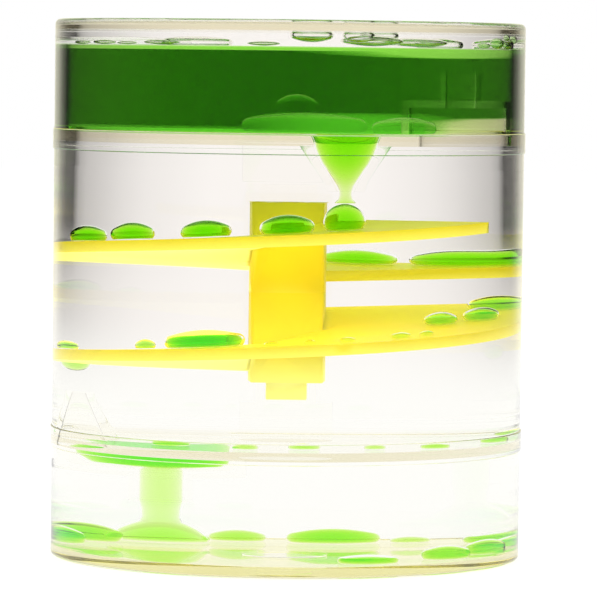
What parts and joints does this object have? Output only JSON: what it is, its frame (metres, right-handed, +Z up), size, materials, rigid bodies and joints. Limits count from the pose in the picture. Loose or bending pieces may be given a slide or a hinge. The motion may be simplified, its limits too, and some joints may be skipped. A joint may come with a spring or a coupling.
{
  "type": "liquid motion timer",
  "caption": "Sealed clear cylinder with a dyed upper chamber, two stacked yellow spiral ramps that coloured drops roll down, and a lower chamber that collects them.",
  "frame": {"origin": "centre of the base, on the surface it stands on", "axes": "+Z up along the cylinder's axis, -Y the front that the picture shows, +X to the right of it"},
  "size_m": [0.0804, 0.0804, 0.091],
  "materials": {
    "clear_case": "clear moulded plastic, polished",
    "yellow_plastic": "glossy, slightly translucent",
    "dyed_liquid": "clear green dyed liquid",
    "clear_oil": "clear colourless oil",
    "air_bubble": "air in oil"
  },
  "bodies": {
    "case": {"bottom_cup": "clear_case", "top_cup": "clear_case", "filling_plug": "clear_case", "lower_divider": "clear_case", "upper_divider": "clear_case", "middle_tube": "clear_case", "upper_spiral": "yellow_plastic", "lower_spiral": "yellow_plastic", "ramp_beads": "dyed_liquid", "plate_puddles": "dyed_liquid", "pool_drops": "dyed_liquid", "plate_blobs": "clear_oil", "surface_bubbles": "air_bubble", "drip_stream": "dyed_liquid", "pour_stream": "dyed_liquid", "dyed_liquid": "dyed_liquid", "upper_oil": "clear_oil", "middle_oil": "clear_oil", "lower_oil": "clear_oil"},
    "upper_drop_1": {"upper_drop_1": "dyed_liquid"},
    "upper_drop_2": {"upper_drop_2": "dyed_liquid"},
    "upper_drop_3": {"upper_drop_3": "dyed_liquid"},
    "upper_drop_4": {"upper_drop_4": "dyed_liquid"},
    "upper_drop_5": {"upper_drop_5": "dyed_liquid"},
    "upper_drop_6": {"upper_drop_6": "dyed_liquid"},
    "upper_drop_7": {"upper_drop_7": "dyed_liquid"},
    "lower_drop_1": {"lower_drop_1": "dyed_liquid"},
    "lower_drop_2": {"lower_drop_2": "dyed_liquid"},
    "lower_drop_3": {"lower_drop_3": "dyed_liquid"},
    "lower_drop_4": {"lower_drop_4": "dyed_liquid"},
    "lower_drop_5": {"lower_drop_5": "dyed_liquid"},
    "lower_drop_6": {"lower_drop_6": "dyed_liquid"},
    "falling_drop": {"falling_drop": "dyed_liquid"},
    "rising_bubble": {"rising_bubble": "clear_oil"}
  },
  "joints": [
    {"name": "upper_drop_1_roll", "type": "hinge", "parent": "case", "child": "upper_drop_1", "pos_m": [0, 0, 0.05643], "axis": [0.0651, 0.0103, -0.9978], "range_deg": [0, 16], "deforming": ["middle_oil"]},
    {"name": "upper_drop_2_roll", "type": "hinge", "parent": "case", "child": "upper_drop_2", "pos_m": [0, 0, 0.05586], "axis": [0.0631, -0.0091, -0.998], "range_deg": [0, 16], "deforming": ["middle_oil"]},
    {"name": "upper_drop_3_roll", "type": "hinge", "parent": "case", "child": "upper_drop_3", "pos_m": [0, 0, 0.05506], "axis": [0.0539, -0.0341, -0.998], "range_deg": [0, 16], "deforming": ["middle_oil"]},
    {"name": "upper_drop_4_roll", "type": "hinge", "parent": "case", "child": "upper_drop_4", "pos_m": [0, 0, 0.0542], "axis": [0.0338, -0.0541, -0.998], "range_deg": [0, 16], "deforming": ["middle_oil"]},
    {"name": "upper_drop_5_roll", "type": "hinge", "parent": "case", "child": "upper_drop_5", "pos_m": [0, 0, 0.05347], "axis": [0.0111, -0.0628, -0.998], "range_deg": [0, 16], "deforming": ["middle_oil"]},
    {"name": "upper_drop_6_roll", "type": "hinge", "parent": "case", "child": "upper_drop_6", "pos_m": [0, 0, 0.04964], "axis": [-0.0645, 0.017, -0.9978], "range_deg": [0, 6.4], "deforming": ["middle_oil"]},
    {"name": "upper_drop_7_roll", "type": "hinge", "parent": "case", "child": "upper_drop_7", "pos_m": [0, 0, 0.04924], "axis": [-0.0527, 0.0266, -0.9983], "range_deg": [0, 6.4], "deforming": ["middle_oil"]},
    {"name": "lower_drop_1_roll", "type": "hinge", "parent": "case", "child": "lower_drop_1", "pos_m": [0, 0, 0.04197], "axis": [-0.0358, 0.0674, -0.9971], "range_deg": [0, 14], "deforming": ["middle_oil"]},
    {"name": "lower_drop_2_roll", "type": "hinge", "parent": "case", "child": "lower_drop_2", "pos_m": [0, 0, 0.04033], "axis": [0.0342, 0.089, -0.9954], "range_deg": [0, 14], "deforming": ["middle_oil"]},
    {"name": "lower_drop_3_roll", "type": "hinge", "parent": "case", "child": "lower_drop_3", "pos_m": [0, 0, 0.0408], "axis": [0.0097, 0.0789, -0.9968], "range_deg": [0, 14], "deforming": ["middle_oil"]},
    {"name": "lower_drop_4_roll", "type": "hinge", "parent": "case", "child": "lower_drop_4", "pos_m": [0, 0, 0.03695], "axis": [0.0565, -0.036, -0.9978], "range_deg": [0, 14], "deforming": ["middle_oil"]},
    {"name": "lower_drop_5_roll", "type": "hinge", "parent": "case", "child": "lower_drop_5", "pos_m": [0, 0, 0.03645], "axis": [0.0385, -0.0421, -0.9984], "range_deg": [0, 14], "deforming": ["middle_oil"]},
    {"name": "lower_drop_6_roll", "type": "hinge", "parent": "case", "child": "lower_drop_6", "pos_m": [0, 0, 0.03467], "axis": [-0.013, -0.067, -0.9977], "range_deg": [0, 14], "deforming": ["middle_oil"]},
    {"name": "falling_drop_fall", "type": "slide", "parent": "case", "child": "falling_drop", "axis": [0, 0, -1], "range_m": [0, 0.00985], "deforming": ["middle_oil"]},
    {"name": "rising_bubble_rise", "type": "slide", "parent": "case", "child": "rising_bubble", "axis": [0, 0, 1], "range_m": [0, 0.0075], "deforming": ["dyed_liquid"]}
  ],
  "couplings": [
    {"joint": "upper_drop_1_roll", "follows": "upper_drop_2_roll", "ratio": 1},
    {"joint": "upper_drop_3_roll", "follows": "upper_drop_2_roll", "ratio": 1},
    {"joint": "upper_drop_4_roll", "follows": "upper_drop_2_roll", "ratio": 1},
    {"joint": "upper_drop_5_roll", "follows": "upper_drop_2_roll", "ratio": 1},
    {"joint": "upper_drop_6_roll", "follows": "upper_drop_2_roll", "ratio": 0.4},
    {"joint": "upper_drop_7_roll", "follows": "upper_drop_2_roll", "ratio": 0.4},
    {"joint": "lower_drop_1_roll", "follows": "lower_drop_4_roll", "ratio": 1},
    {"joint": "lower_drop_2_roll", "follows": "lower_drop_4_roll", "ratio": 1},
    {"joint": "lower_drop_3_roll", "follows": "lower_drop_4_roll", "ratio": 1},
    {"joint": "lower_drop_5_roll", "follows": "lower_drop_4_roll", "ratio": 1},
    {"joint": "lower_drop_6_roll", "follows": "lower_drop_4_roll", "ratio": 1}
  ]
}
